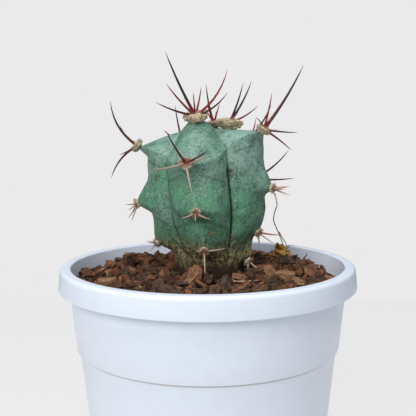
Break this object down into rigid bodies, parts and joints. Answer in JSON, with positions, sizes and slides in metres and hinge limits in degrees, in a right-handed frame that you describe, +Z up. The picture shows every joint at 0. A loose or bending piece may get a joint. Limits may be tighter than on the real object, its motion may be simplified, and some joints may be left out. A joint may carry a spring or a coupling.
{
  "type": "potted cactus",
  "caption": "Young ribbed cactus with woolly areoles and long spines, rooted in bark potting mix in a plain round plastic pot.",
  "frame": {"origin": "middle of the pot's foot, on the surface it stands on", "axes": "+Z up along the pot's axis, -Y towards the front rib, +X towards the right rib"},
  "size_m": [0.164, 0.164, 0.2613],
  "materials": {
    "pot": "satin white moulded plastic",
    "potting_mix": "coarse damp bark and coir",
    "stem": "waxy blue-green skin, corky and brown near the mix",
    "wool": "felted plant wool",
    "young_spines": "glossy dark red-brown",
    "old_spines": "dry pale tan",
    "bark": "rough dry bark",
    "straw": "papery and dry"
  },
  "bodies": {
    "root": {"bark_chip_1": "bark", "bark_chip_2": "bark", "bark_chip_3": "bark", "bark_chip_4": "bark", "bark_chip_5": "bark", "bark_chip_6": "bark", "bark_chip_7": "bark", "bark_chip_8": "bark", "dried_flower": "straw", "dry_thread_1": "straw", "dry_thread_2": "straw", "fallen_spines": "old_spines", "hooked_spine": "young_spines", "pot": "pot", "potting_mix": "potting_mix", "spines_apex": "young_spines", "spines_back_left_1": "young_spines", "spines_back_left_2": "old_spines", "spines_back_left_3": "old_spines", "spines_back_right_1": "young_spines", "spines_back_right_2": "young_spines", "spines_back_right_3": "old_spines", "spines_back_right_4": "old_spines", "spines_front_1": "young_spines", "spines_front_2": "young_spines", "spines_front_3": "old_spines", "spines_front_4": "old_spines", "spines_left_1": "young_spines", "spines_left_2": "old_spines", "spines_left_3": "old_spines", "spines_right_1": "young_spines", "spines_right_2": "young_spines", "spines_right_3": "old_spines", "spines_right_4": "old_spines", "spines_right_5": "old_spines", "stem": "stem", "wool_apex": "wool", "wool_back_left_1": "wool", "wool_back_left_2": "wool", "wool_back_left_3": "wool", "wool_back_right_1": "wool", "wool_back_right_2": "wool", "wool_back_right_3": "wool", "wool_back_right_4": "wool", "wool_front_1": "wool", "wool_front_2": "wool", "wool_front_3": "wool", "wool_front_4": "wool", "wool_left_1": "wool", "wool_left_2": "wool", "wool_left_3": "wool", "wool_right_1": "wool", "wool_right_2": "wool", "wool_right_3": "wool", "wool_right_4": "wool", "wool_right_5": "wool"}
  },
  "joints": []
}
